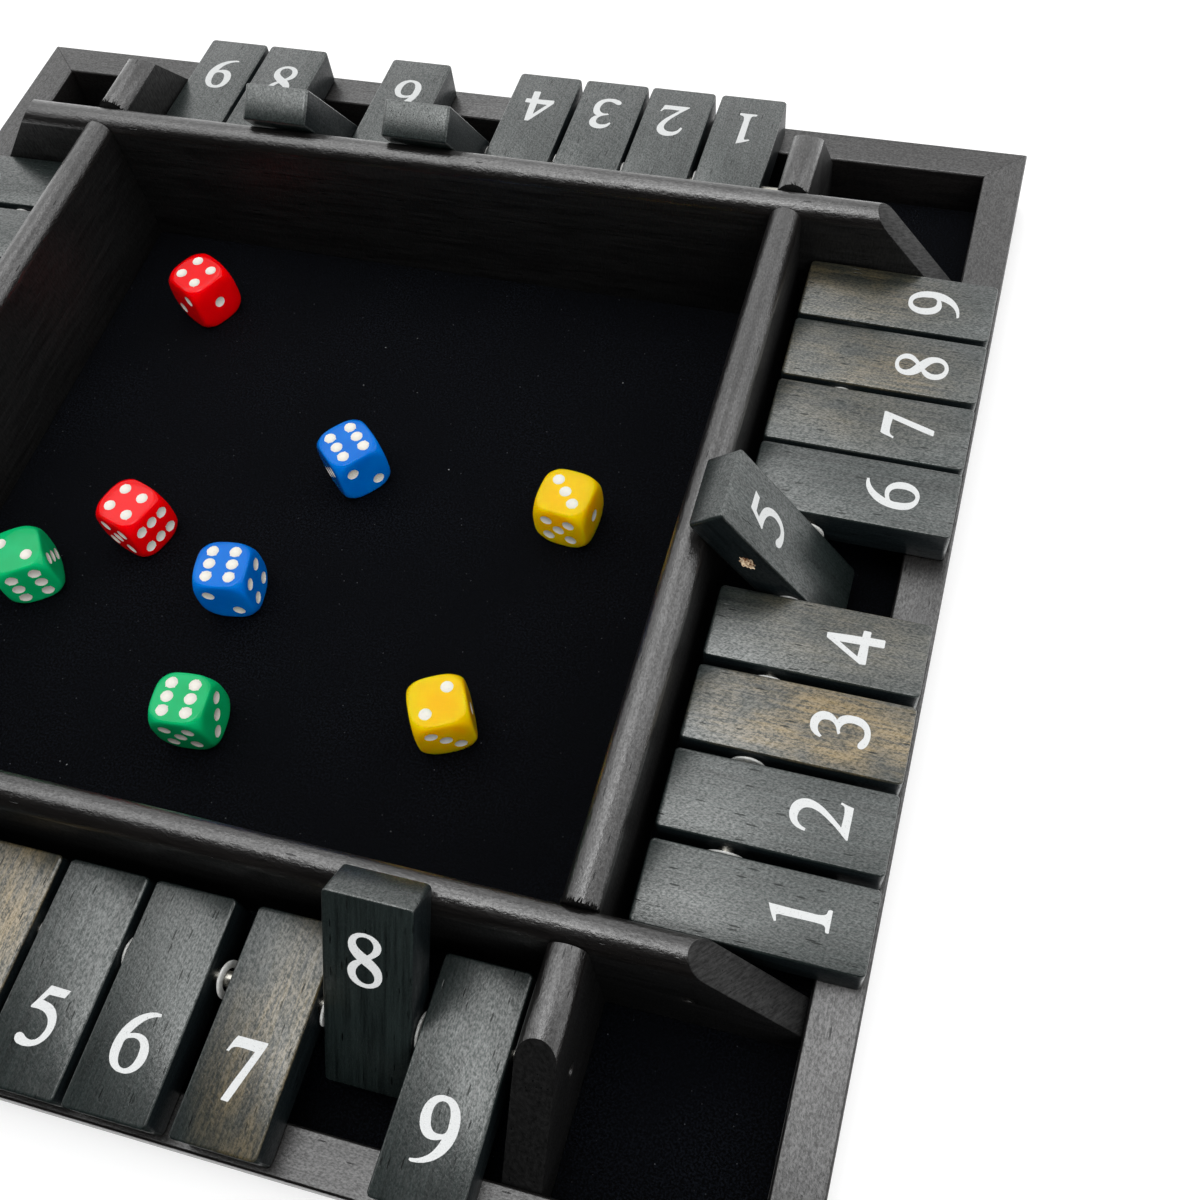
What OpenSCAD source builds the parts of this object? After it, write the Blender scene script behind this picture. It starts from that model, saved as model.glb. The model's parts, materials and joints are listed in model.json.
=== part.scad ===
// Four-player shut the box game.
// A square tray with four mitred rails and four round-topped dividers. Each side has
// nine numbered tiles on a steel rod, and eight dice lie in the middle of the tray.
// All sizes are in millimetres. The origin is the middle of the underside, +Z is up,
// +X is the east side and +Y is the north side.

/* [Case] */
// Outside width of the square frame
frame_w = 355; // [320:1:400]
// Width of a rail, seen from above
rail_w = 12.2; // [10:0.1:14]
// Height of the rails above the underside
rail_h = 20; // [18:0.5:26]
// Width of the small flats that ease the rails' upper edges
rail_ease = 0.5; // [0.2:0.1:1]
// Thickness of the base board
base_t = 5; // [4:0.5:6]
// How far the base board is let in under each rail
base_rebate = 6; // [4:0.5:8]
// Thickness of the felt
felt_t = 1; // [0.5:0.1:2]
// Gap between the felt and the boards around it
felt_gap = 0.1; // [0.05:0.05:0.3]

/* [Dividers] */
// From the frame's outer face to the middle of a divider
divider_in = 65; // [63:0.5:68]
// Thickness of a divider, whose top is a full round
divider_t = 9.4; // [8:0.1:11]
// Height of a divider's crown above the rails
crown_rise = 29.3; // [26:0.1:34]
// From the frame's outer face to where a divider's end slope starts
slope_in = 39.1; // [36:0.1:42]
// How far below the rails' top the end slope stops
slope_drop = 1.6; // [0.5:0.1:3]
// Play in the cross-lap slots, on each side
lap_gap = 0.05; // [0.02:0.01:0.2]
// Gap between a divider's end and the rail
end_gap = 0.1; // [0.05:0.05:0.3]

/* [Tiles] */
// Length of a tile
tile_l = 54.9; // [50:0.1:56]
// Thickness of a tile
tile_t = 10.6; // [9:0.1:11.5]
// Radius of a tile's upright corners
tile_corner_r = 1.3; // [0.5:0.1:3]
// Width of the small flats that ease a tile's long and short edges
tile_ease = 0.35; // [0.1:0.05:0.8]
// From a tile's inner end to the rod
pivot_in = 17.7; // [16:0.1:18.5]
// Total play along a row of tiles
row_slack = 23; // [18:0.5:28]
// Gap under a tile's outer end at rest
rest_gap = 0.2; // [0.1:0.05:0.3]
// Gap between a flipped tile and the divider's round top
lean_gap = 0.3; // [0.2:0.05:0.5]
// Radial clearance of a tile's bore on its rod
bore_gap = 0.08; // [0.02:0.01:0.1]

/* [Rods and washers] */
// Diameter of a pivot rod
rod_d = 4; // [3:0.1:5]
// From the frame's outer face to a rod
rod_in = 38.7; // [37:0.1:40]
// Height of a rod above the rails' top
rod_rise = 6.3; // [5.8:0.1:7.5]
// Radial gap round a rod's glued ends
rod_fit = 0.05; // [0.01:0.01:0.1]
// How far a rod's ends lie below the dividers' faces
rod_end_in = 0.8; // [0:0.1:3]
// Outside diameter of a washer
washer_d = 9.5; // [8:0.1:10.5]
// Bore of a washer, which is wider than the rod
washer_bore = 5.9; // [5.2:0.1:6.5]
// Thickness of a washer
washer_t = 0.6; // [0.4:0.05:0.8]
// Gap between a rod and the washer that hangs on it
washer_gap = 0.05; // [0.02:0.01:0.1]

/* [Dice] */
// Width of a die
die_w = 16; // [14:0.5:18]
// Radius of a die's edges
die_edge_r = 2.8; // [1.5:0.1:4.5]
// Diameter of the sphere that rounds a die's corners
die_round_d = 23; // [20.5:0.1:24]
// Distance of a pip from the middle of its face
pip_at = 3.4; // [3:0.1:4]
// Distance of a six's end pips from the middle of their row
six_pip_at = 4.24; // [3.8:0.01:4.6]
// Diameter of a pip
pip_d = 3.5; // [2.5:0.1:4]
// Depth of a pip
pip_depth = 0.5; // [0.2:0.05:0.8]

/* [Hidden] */
$fn = 48;
// Overrun of a cut past the face that it opens through
cut = 1;
SIDES = ["east", "north", "west", "south"];
NUMBERS = [1:9];

// How the play in each row is shared out, in hundredths of row_slack: before tile 1,
// between the tiles, and after tile 9
PLAY = [
    [17, 13, 11.5, 11.5, 6, 18.5, 5.5, 8, 7.5, 1.5],
    [37, 9, 6, 8, 5, 12, 5, 10, 6.5, 1.5],
    [3, 9, 13, 11, 9, 13, 10, 13, 9, 10],
    [5, 5, 5, 5.5, 10, 9, 24.5, 12.5, 7, 16.5]
];
// Tiles that stand flipped up against their divider: side, number
FLIPPED = [["east", 5], ["north", 5], ["north", 7], ["south", 8]];

// Dice: name, colour, place in hundredths of dice_reach, turn about Z, and the quarter
// turns that bring the wanted faces to the top and front
DICE = [
    ["die_red_1", "red", [-76.6, 79.9], -28, [90, 0, 0]],
    ["die_red_2", "red", [-58.8, -13.5], -18.4, [90, 0, 180]],
    ["die_yellow_1", "gold", [72, 17.8], -5.5, [90, 180, 180]],
    ["die_yellow_2", "gold", [57.1, -57], 26.9, [0, 0, 0]],
    ["die_blue_1", "royalblue", [0.5, 22], -41.5, [0, 90, 0]],
    ["die_blue_2", "royalblue", [-20.4, -28.3], 9.2, [0, 90, -90]],
    ["die_green_1", "seagreen", [-85.8, -37], 35.2, [0, 0, 90]],
    ["die_green_2", "seagreen", [-14.2, -72.4], 5.8, [0, 90, 90]]
];

// Distances from the middle of the tray
frame_half = frame_w / 2;
rail_inner = frame_half - rail_w;
divider_at = frame_half - divider_in;
slope_at = frame_half - slope_in;
rod_at = frame_half - rod_in;
// Furthest that a die's middle can be from the tray's, whichever way the die is turned
dice_reach = divider_at - divider_t / 2 - die_w * sqrt(2) / 2;

// Heights above the underside
floor_z = base_t + felt_t;
crown_z = rail_h + crown_rise;
round_z = crown_z - divider_t / 2;
lap_z = (base_t + crown_z) / 2;
rod_z = rail_h + rod_rise;

// Tiles fill the row between two dividers, less the play
row_w = 2 * divider_at - divider_t;
tile_w = (row_w - row_slack) / 9;
tile_out = tile_l - pivot_in;

// At rest a tile's outer lower edge lies just over the rail
rest_angle = asin((rod_rise - rest_gap) / norm([tile_out, tile_t / 2]))
    - atan(tile_t / 2 / tile_out);
// Flipped, a tile's face lies just off the divider's round top
lean = [divider_at - rod_at, round_z - rod_z];
lean_angle = atan2(lean[1], lean[0])
    - asin((tile_t / 2 + divider_t / 2 + lean_gap) / norm(lean));

function total(list, count) = count == 0 ? 0 : list[count - 1] + total(list, count - 1);
function side_turn(side) = 90 * search([side], SIDES)[0];
function tile_mid(side, k) = -row_w / 2 + (k - 0.5) * tile_w
    + row_slack * total(PLAY[search([side], SIDES)[0]], k) / 100;
function gap_mid(side, k) = (tile_mid(side, k) + tile_mid(side, k + 1)) / 2;
function is_flipped(side, k) = len([for (tile = FLIPPED) if (tile == [side, k]) k]) > 0;

// ---------------------------------------------------------------- case

module base_board() {
    board_w = 2 * (rail_inner + base_rebate);
    color("saddlebrown")
    translate([-board_w / 2, -board_w / 2, 0])
        cube([board_w, board_w, base_t]);
}

// Cross-section of a rail, with eased upper edges and a rebate for the base board
module rail_section() {
    polygon([
        [rail_inner + base_rebate, 0], [frame_half, 0],
        [frame_half, rail_h - rail_ease], [frame_half - rail_ease, rail_h],
        [rail_inner + rail_ease, rail_h], [rail_inner, rail_h - rail_ease],
        [rail_inner, base_t], [rail_inner + base_rebate, base_t]
    ]);
}

// One rail along Y, mitred at both ends
module rail(side) {
    color("dimgray")
    rotate([0, 0, side_turn(side)])
    intersection() {
        translate([0, frame_half, 0])
            rotate([90, 0, 0])
            linear_extrude(frame_w)
            rail_section();
        linear_extrude(rail_h)
            polygon([[0, 0], [frame_half, -frame_half], [frame_half, frame_half]]);
    }
}

// Felt glued to the base board in the nine spaces between the boards
module felt_lining() {
    felt_w = 2 * (rail_inner - felt_gap);
    slot_w = divider_t + 2 * felt_gap;
    color("black")
    difference() {
        translate([-felt_w / 2, -felt_w / 2, base_t])
            cube([felt_w, felt_w, felt_t]);
        for (turn = [0:90:270])
            rotate([0, 0, turn])
            translate([divider_at - slot_w / 2, -frame_half, base_t - cut])
                cube([slot_w, frame_w, felt_t + 2 * cut]);
    }
}

// ---------------------------------------------------------------- dividers

// Side outline of a divider, with a straight slope down to the rail at each end
module divider_outline() {
    end = rail_inner - end_gap;
    polygon([
        [-end, base_t], [end, base_t], [end, rail_h - slope_drop],
        [slope_at, crown_z], [-slope_at, crown_z], [-end, rail_h - slope_drop]
    ]);
}

// Cross-section of a divider, with its full-round top
module divider_section() {
    translate([-divider_t / 2, 0])
        square([divider_t, round_z]);
    translate([0, round_z])
        circle(d = divider_t);
}

// A divider board along Y, with two cross-lap slots and two rod holes. East and west
// boards are slotted from above, and pass under the north and south ones.
module divider(side) {
    slot_w = divider_t + 2 * lap_gap;
    slot_low = (side == "east" || side == "west") ? lap_z : base_t - cut;
    slot_high = (side == "east" || side == "west") ? crown_z + cut : lap_z;
    color("dimgray")
    rotate([0, 0, side_turn(side)])
    translate([divider_at, 0, 0])
    difference() {
        intersection() {
            rotate([90, 0, 90])
                translate([0, 0, -divider_t])
                linear_extrude(2 * divider_t)
                divider_outline();
            rotate([90, 0, 0])
                translate([0, 0, -frame_half])
                linear_extrude(frame_w)
                divider_section();
        }
        for (end = [-1, 1]) {
            translate([-divider_t, end * divider_at - slot_w / 2, slot_low])
                cube([2 * divider_t, slot_w, slot_high - slot_low]);
            translate([-divider_t, end * rod_at, rod_z])
                rotate([0, 90, 0])
                cylinder(d = rod_d + 2 * rod_fit, h = 2 * divider_t);
        }
    }
}

// ---------------------------------------------------------------- rods and washers

// A steel rod along Y, with its ends in the holes of the two crossing dividers
module rod(side) {
    length = 2 * divider_at + divider_t - 2 * rod_end_in;
    color("silver")
    rotate([0, 0, side_turn(side)])
    translate([rod_at, length / 2, rod_z])
    rotate([90, 0, 0])
        cylinder(d = rod_d, h = length);
}

// Loose washers hang on the rods between the tiles
module washers() {
    hang = (washer_bore - rod_d) / 2 - washer_gap;
    color("gainsboro")
    for (side = SIDES, k = [1:8])
        rotate([0, 0, side_turn(side)])
        translate([rod_at, gap_mid(side, k) + washer_t / 2, rod_z - hang])
        rotate([90, 0, 0])
        difference() {
            cylinder(d = washer_d, h = washer_t);
            translate([0, 0, -cut])
                cylinder(d = washer_bore, h = washer_t + 2 * cut);
        }
}

// ---------------------------------------------------------------- tiles

// Outline of a tile seen from above, with rounded corners
module tile_plan() {
    x_low = -pivot_in + tile_corner_r;
    x_high = tile_out - tile_corner_r;
    y_high = tile_w / 2 - tile_corner_r;
    translate([-pivot_in, -y_high])
        square([tile_l, 2 * y_high]);
    translate([x_low, -tile_w / 2])
        square([x_high - x_low, tile_w]);
    for (x = [x_low, x_high], y = [-y_high, y_high])
        translate([x, y])
        circle(r = tile_corner_r, $fn = 32);
}

// Section of a tile between two places along it, with eased edges
module tile_section(low, high) {
    half_t = tile_t / 2;
    polygon([
        [low, -half_t + tile_ease], [low + tile_ease, -half_t],
        [high - tile_ease, -half_t], [high, -half_t + tile_ease],
        [high, half_t - tile_ease], [high - tile_ease, half_t],
        [low + tile_ease, half_t], [low, half_t - tile_ease]
    ]);
}

// A tile block that points outwards along X, with its bore along Y on the origin
module tile_block() {
    difference() {
        intersection() {
            translate([0, 0, -tile_t])
                linear_extrude(2 * tile_t)
                tile_plan();
            rotate([90, 0, 0])
                translate([0, 0, -tile_w])
                linear_extrude(2 * tile_w)
                tile_section(-pivot_in, tile_out);
            rotate([90, 0, 90])
                translate([0, 0, -tile_l])
                linear_extrude(2 * tile_l)
                tile_section(-tile_w / 2, tile_w / 2);
        }
        translate([0, tile_w / 2 + cut, 0])
            rotate([90, 0, 0])
            cylinder(d = rod_d + 2 * bore_gap, h = tile_w + 2 * cut);
    }
}

// One numbered tile, flat on its rail or flipped up against its divider
module tile(side, k) {
    color("darkslategray")
    rotate([0, 0, side_turn(side)])
    translate([rod_at, tile_mid(side, k), rod_z])
    rotate([0, is_flipped(side, k) ? -lean_angle : rest_angle, 0])
        tile_block();
}

// ---------------------------------------------------------------- dice

// Pips of one face, in the plane of that face
function pips(value) =
    value == 1 ? [[0, 0]] :
    value == 2 ? [[pip_at, pip_at], [-pip_at, -pip_at]] :
    value == 3 ? concat(pips(1), pips(2)) :
    value == 4 ? concat(pips(2), [[pip_at, -pip_at], [-pip_at, pip_at]]) :
    value == 5 ? concat(pips(1), pips(4)) :
    [for (x = [-pip_at, pip_at], y = [-six_pip_at, 0, six_pip_at]) [x, y]];

// Dimples of one face. The turn brings the face from the top of the die to its place,
// and the twist turns its pattern first.
module pip_cuts(value, turn, twist = 0) {
    ball_r = (pow(pip_d / 2, 2) + pow(pip_depth, 2)) / (2 * pip_depth);
    rotate(turn)
    rotate([0, 0, twist])
    for (at = pips(value))
        translate([at[0], at[1], die_w / 2 - pip_depth + ball_r])
        sphere(r = ball_r, $fn = 32);
}

// A square bar along Z, as wide and as long as a die, with rounded edges
module die_bar() {
    inset = die_w / 2 - die_edge_r;
    translate([0, 0, -die_w / 2])
    linear_extrude(die_w) {
        square([die_w, 2 * inset], center = true);
        square([2 * inset, die_w], center = true);
        for (x = [-inset, inset], y = [-inset, inset])
            translate([x, y])
            circle(r = die_edge_r);
    }
}

// A die: three crossed bars round its edges and a sphere its corners. Opposite faces
// add up to seven.
module die(spec) {
    color(spec[1])
    translate([spec[2][0] * dice_reach / 100, spec[2][1] * dice_reach / 100, floor_z + die_w / 2])
    rotate([0, 0, spec[3]])
    rotate(spec[4])
    difference() {
        intersection() {
            die_bar();
            rotate([90, 0, 0]) die_bar();
            rotate([0, 90, 0]) die_bar();
            sphere(d = die_round_d);
        }
        pip_cuts(2, [0, 0, 0]);
        pip_cuts(5, [180, 0, 0]);
        pip_cuts(3, [90, 0, 0], 90);
        pip_cuts(4, [-90, 0, 0]);
        pip_cuts(1, [0, 90, 0]);
        pip_cuts(6, [0, -90, 0], 90);
    }
}

// ---------------------------------------------------------------- drawing

base_board();
felt_lining();
washers();
for (side = SIDES) {
    rail(side);
    divider(side);
    rod(side);
    for (k = NUMBERS)
        tile(side, k);
}
for (spec = DICE)
    die(spec);
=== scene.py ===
"""A four-player shut the box game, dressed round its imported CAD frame.

Four mitred rails and four round-topped dividers make a tray. Nine numbered tiles turn on
a steel rod along each side, with loose washers between them, and eight dice lie on felt.
Lengths are in metres. +X is the east side, +Y the north side and +Z is up.
"""

import json
import logging
import math
import random
from dataclasses import dataclass, field
from enum import Enum
from typing import Callable, Iterable, Sequence

import bmesh
import bpy
from mathutils import Euler, Matrix, Vector

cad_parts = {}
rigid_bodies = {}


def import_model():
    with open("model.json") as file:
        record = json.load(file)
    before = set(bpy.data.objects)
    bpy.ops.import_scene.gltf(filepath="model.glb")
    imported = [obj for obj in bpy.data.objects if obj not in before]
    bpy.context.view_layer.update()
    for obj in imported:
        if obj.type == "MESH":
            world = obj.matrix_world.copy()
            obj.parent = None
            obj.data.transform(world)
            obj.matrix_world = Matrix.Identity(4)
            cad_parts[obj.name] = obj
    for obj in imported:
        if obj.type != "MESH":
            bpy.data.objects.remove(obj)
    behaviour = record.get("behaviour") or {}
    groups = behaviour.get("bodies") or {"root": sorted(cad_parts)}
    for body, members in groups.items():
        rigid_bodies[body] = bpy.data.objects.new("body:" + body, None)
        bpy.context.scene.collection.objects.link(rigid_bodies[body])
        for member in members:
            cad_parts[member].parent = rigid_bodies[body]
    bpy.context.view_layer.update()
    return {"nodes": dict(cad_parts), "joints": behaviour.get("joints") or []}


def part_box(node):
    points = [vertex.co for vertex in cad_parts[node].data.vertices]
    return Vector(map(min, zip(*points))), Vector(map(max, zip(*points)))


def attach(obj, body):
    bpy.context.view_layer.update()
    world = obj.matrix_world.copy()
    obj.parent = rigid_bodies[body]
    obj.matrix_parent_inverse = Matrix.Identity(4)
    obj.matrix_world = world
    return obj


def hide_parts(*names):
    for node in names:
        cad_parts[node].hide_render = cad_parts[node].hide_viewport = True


for default in list(bpy.data.objects):
    bpy.data.objects.remove(default, do_unlink=True)
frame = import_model()
LOG = logging.getLogger("shut_the_box")
MM = 0.001
TRAY = "tray"

Piece = bpy.types.Object
Material = bpy.types.Material
Socket = bpy.types.NodeSocket
Pair = tuple[float, float]
Triple = tuple[float, float, float]
Inputs = dict[str | int, object]


def turned(degrees: float, axis: str) -> Matrix:
    """Gives a turn about one axis."""
    return Matrix.Rotation(math.radians(degrees), 4, axis)


class Side(Enum):
    """The four sides of the tray, by the quarter turns from the east side."""

    EAST = 0
    NORTH = 1
    WEST = 2
    SOUTH = 3

    @property
    def label(self) -> str:
        """The side's name as the CAD nodes spell it."""
        return self.name.lower()

    @property
    def turn(self) -> Matrix:
        """The turn about Z that brings the east side to this one."""
        return turned(90 * self.value, "Z")


# ------------------------------------------------------------------ shading helpers


def srgb(code: str) -> tuple[float, float, float, float]:
    """Turns an sRGB hex colour into Blender's linear one.

    Args:
        code: six hex digits, such as "1A2B3C".

    Returns:
        Linear red, green, blue and an alpha of one.
    """
    parts = [int(code[i : i + 2], 16) / 255 for i in (0, 2, 4)]
    linear = [p / 12.92 if p <= 0.04045 else ((p + 0.055) / 1.055) ** 2.4 for p in parts]
    return (linear[0], linear[1], linear[2], 1.0)


class Wiring:
    """A node tree, with the few kinds of node that the finishes and the stage need."""

    def __init__(self, tree: bpy.types.NodeTree) -> None:
        """Takes the tree that the nodes go into."""
        self.tree = tree

    def feed(self, node: bpy.types.Node, inputs: Inputs) -> None:
        """Feeds a node.

        Args:
            node: the node.
            inputs: its inputs by name or number, each with a plain value or a socket.
        """
        for name, value in inputs.items():
            if isinstance(value, Socket):
                self.tree.links.new(value, node.inputs[name])
            else:
                node.inputs[name].default_value = value

    def node(self, kind: str, inputs: Inputs, **properties: object) -> bpy.types.Node:
        """Adds a node and feeds it.

        Args:
            kind: the node's type after "ShaderNode", such as "TexNoise".
            inputs: its inputs by name or number, each with a plain value or a socket.
            properties: its own properties.

        Returns:
            The new node.
        """
        node = self.tree.nodes.new(f"ShaderNode{kind}")
        for name, value in properties.items():
            setattr(node, name, value)
        self.feed(node, inputs)
        return node

    def object_space(self) -> Socket:
        """Gives the coordinates of the piece, in metres."""
        return self.node("TexCoord", {}).outputs["Object"]

    def stored(self, name: str) -> Socket:
        """Gives a vector that lay_grain() stored in the mesh."""
        return self.node("Attribute", {}, attribute_name=name).outputs["Vector"]

    def grain_space(self, cells: Sequence[float]) -> Socket:
        """Gives a board's own coordinates, shifted and scaled to so many cells per metre."""
        moved = self.vector("ADD", self.stored("grain_at"), self.stored("grain_seed"))
        return self.vector("MULTIPLY", moved, cells)

    def noise(
        self, space: Socket, scale: float = 1.0, detail: float = 2.0, rough: float = 0.5
    ) -> Socket:
        """Adds a noise from 0 to 1, with so many cells per unit of its space."""
        inputs = {"Scale": scale, "Detail": detail, "Roughness": rough, "Vector": space}
        return self.node("TexNoise", inputs).outputs["Fac"]

    def cells(self, space: Socket, scale: float = 1.0) -> tuple[Socket, Sequence[Socket]]:
        """Adds irregular cells.

        Args:
            space: their coordinates.
            scale: cells per unit of them.

        Returns:
            The distance from the middle of a cell, and three values picked for each cell.
        """
        inputs = {"Scale": scale, "Randomness": 1.0, "Vector": space}
        cells = self.node("TexVoronoi", inputs).outputs
        return cells["Distance"], self.node("SeparateColor", {"Color": cells["Color"]}).outputs

    def reshape(
        self,
        source: Socket,
        low: float,
        high: float,
        to_low: float = 0.0,
        to_high: float = 1.0,
    ) -> Socket:
        """Maps a value from one range to another, clamped at both ends."""
        ends = {"From Min": low, "From Max": high, "To Min": to_low, "To Max": to_high}
        return self.node("MapRange", {"Value": source, **ends}).outputs["Result"]

    def calculate(self, operation: str, first: object, *others: object) -> Socket:
        """Works one maths operation through two or more values.

        Args:
            operation: the operation, such as "MULTIPLY".
            first: the first value, a socket or a plain number.
            others: the other values.

        Returns:
            The result.
        """
        for other in others:
            first = self.node("Math", {0: first, 1: other}, operation=operation).outputs[0]
        return first

    def vector(self, operation: str, *values: object) -> Socket:
        """Adds a vector maths node and gives its vector or, for a length, its number."""
        node = self.node("VectorMath", dict(enumerate(values)), operation=operation)
        return node.outputs["Value" if operation == "LENGTH" else "Vector"]

    def blend(self, share: Socket, first: object, second: object) -> Socket:
        """Mixes two colours.

        Args:
            share: how much of the second colour shows.
            first: a colour socket or an sRGB hex colour.
            second: a colour socket or an sRGB hex colour.

        Returns:
            The mixed colour.
        """
        mix = self.node("Mix", {"Factor": share}, data_type="RGBA")
        colours = {"A": first, "B": second}
        for number, socket in enumerate(mix.inputs):
            if socket.type == "RGBA":
                colour = colours[socket.name]
                self.feed(mix, {number: srgb(colour) if isinstance(colour, str) else colour})
        return next(s for s in mix.outputs if s.type == "RGBA")

    def relief(self, height: Socket, depth: float, **below: Socket) -> Socket:
        """Adds a bump, so many metres deep, on top of another's Normal if there is one."""
        inputs = {"Strength": 1.0, "Distance": depth, "Height": height, **below}
        return self.node("Bump", inputs).outputs["Normal"]

    def seen_rays(self) -> Socket:
        """Marks the rays that carry the backdrop to the eye.

        Returns:
            One for those rays, and zero for the others.
        """
        rays = self.node("LightPath", {}).outputs
        seen = [rays[f"Is {kind} Ray"] for kind in ("Camera", "Transmission", "Glossy")]
        return self.calculate("MAXIMUM", *seen)


class Finish(Wiring):
    """A material under way, with one Principled shader."""

    def __init__(self, name: str) -> None:
        """Starts a material.

        Args:
            name: the material's name.
        """
        self.material = bpy.data.materials.new(name)
        self.material.use_nodes = True
        super().__init__(self.material.node_tree)

    def shade(self, inputs: Inputs) -> Material:
        """Feeds the Principled shader and gives the finished material."""
        self.feed(self.tree.nodes["Principled BSDF"], inputs)
        return self.material


# ------------------------------------------------------------------ finishes


@dataclass(frozen=True)
class LacqueredWood:
    """Beech, stained and sprayed with satin lacquer.

    The stain is nearly black, so what the eye sees is the lacquer's sheen. Its tooth comes
    from the raised grain and the sanding marks, and short dark pores run along the grain.
    A pattern's cells are counted per metre along, across and through the board.
    """

    name: str
    dark: str
    light: str
    thin_stain: str = "7C673A"
    pore_fill: str = "030405"
    sheen_roughness: float = 0.42
    tooth_roughness: float = 0.06
    hatch: float = 0.0
    hatch_turn: float = math.radians(-54)
    hatch_cells: Triple = (170.0, 2300.0, 600.0)
    tooth_cells: Triple = (1200.0, 2300.0, 2300.0)
    streak_cells: Triple = (60.0, 1100.0, 1100.0)
    cloud_cells: Triple = (70.0, 110.0, 110.0)
    pore_cells: Triple = (110.0, 800.0, 800.0)
    pore_share: float = 0.3
    lump_mm: float = 4.0
    lump_depth: float = 0.02 * MM
    tooth_depth: float = 0.05 * MM
    dull: float = 0.05
    build_up: float = 1.0
    base_sheen: float = 0.5
    sheen_tint: str = "FFFFFF"
    lacquer_ior: float = 2.0
    patch_shape: Triple = (0.45, 1.0, 0.0)
    patch_reach: Pair = (17.0 * MM, 6.0 * MM)
    upper_face: Pair = (4.6 * MM, 5.2 * MM)

    def make(self) -> Material:
        """Builds the material.

        Returns:
            The material.
        """
        wiring = Finish(self.name)
        tooth = self.tooth(wiring)
        streaks = wiring.noise(wiring.grain_space(self.streak_cells), detail=4.0, rough=0.65)
        cloud = wiring.noise(wiring.grain_space(self.cloud_cells), detail=3.0, rough=0.6)
        lump = 1 / (self.lump_mm * MM)
        lumps = wiring.noise(
            wiring.grain_space((lump / 2, lump, lump)), detail=3.0, rough=0.6
        )
        pores = self.pores(wiring)
        patch = self.worn_patch(wiring, cloud, wiring.calculate("ADD", streaks, tooth))
        wood = wiring.blend(wiring.reshape(streaks, 0.32, 0.68), self.dark, self.light)
        wood = wiring.blend(patch, wood, self.thin_stain)
        gloss = wiring.calculate(
            "MULTIPLY",
            wiring.reshape(tooth, 0.38, 0.62, self.dull, self.build_up),
            wiring.reshape(cloud, 0.3, 0.7, 0.85, 1.0),
            wiring.reshape(streaks, 0.35, 0.65, 0.8, 1.05),
            wiring.reshape(pores, 0.0, 1.0, 1.0, 0.1),
        )
        rough = self.sheen_roughness
        skin = wiring.calculate("SUBTRACT", tooth, pores)
        normal = wiring.relief(
            skin, self.tooth_depth, Normal=wiring.relief(lumps, self.lump_depth)
        )
        return wiring.shade({
            "Base Color": wiring.blend(pores, wood, self.pore_fill),
            "Roughness": wiring.reshape(tooth, 0.3, 0.7, rough + self.tooth_roughness, rough),
            "Normal": normal,
            "IOR": 1.5,
            "Specular IOR Level": self.base_sheen,
            "Specular Tint": srgb(self.sheen_tint),
            "Coat Weight": gloss,
            "Coat Roughness": rough,
            "Coat IOR": self.lacquer_ior,
            "Coat Normal": normal,
        })

    def tooth(self, wiring: Wiring) -> Socket:
        """Gives the fine tooth: raised grain, mixed with slanted sanding marks.

        Args:
            wiring: the material under way.

        Returns:
            The tooth, from 0 to 1.
        """
        grain = wiring.noise(wiring.grain_space(self.tooth_cells), rough=0.65)
        slant = wiring.node(
            "VectorRotate",
            {"Vector": wiring.grain_space((1.0, 1.0, 1.0)), "Angle": self.hatch_turn},
            rotation_type="Z_AXIS",
        )
        hatching = wiring.vector("MULTIPLY", slant.outputs[0], self.hatch_cells)
        marks = wiring.noise(hatching, rough=0.6)
        mix = wiring.node("Mix", {"Factor": self.hatch, 2: grain, 3: marks}, data_type="FLOAT")
        return mix.outputs[0]

    def pores(self, wiring: Wiring) -> Socket:
        """Gives the open pores: thin dark dashes along the grain, 2 mm long or less.

        Args:
            wiring: the material under way.

        Returns:
            One inside a pore, and zero elsewhere.
        """
        gap, picks = wiring.cells(wiring.grain_space(self.pore_cells))
        open_cells = wiring.reshape(picks[0], 1 - self.pore_share, 1 - 0.8 * self.pore_share)
        return wiring.calculate("MULTIPLY", wiring.reshape(gap, 0.17, 0.12), open_cells)

    def worn_patch(self, wiring: Wiring, cloud: Socket, figure: Socket) -> Socket:
        """Gives the share of thin stain, which lies round one spot of a board's upper face.

        Args:
            wiring: the material under way.
            cloud: a slow noise that breaks up the patch's edge.
            figure: lines along the grain and the fine tooth, added, which break up its middle.

        Returns:
            The share, from 0 to 1.
        """
        at = wiring.stored("grain_at")
        spot = wiring.node("SeparateXYZ", {0: wiring.stored("thin_spot")}).outputs
        centre = wiring.node("CombineXYZ", {0: spot[0], 1: spot[1]}).outputs[0]
        gap = wiring.vector("MULTIPLY", wiring.vector("SUBTRACT", at, centre), self.patch_shape)
        depth = wiring.node("SeparateXYZ", {0: at}).outputs[2]
        return wiring.calculate(
            "MULTIPLY",
            wiring.reshape(wiring.vector("LENGTH", gap), *self.patch_reach),
            wiring.reshape(cloud, 0.3, 0.6, 0.15, 1.0),
            wiring.reshape(figure, 0.85, 1.15, 0.15, 1.5),
            wiring.reshape(depth, *self.upper_face),
            spot[2],
        )


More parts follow.
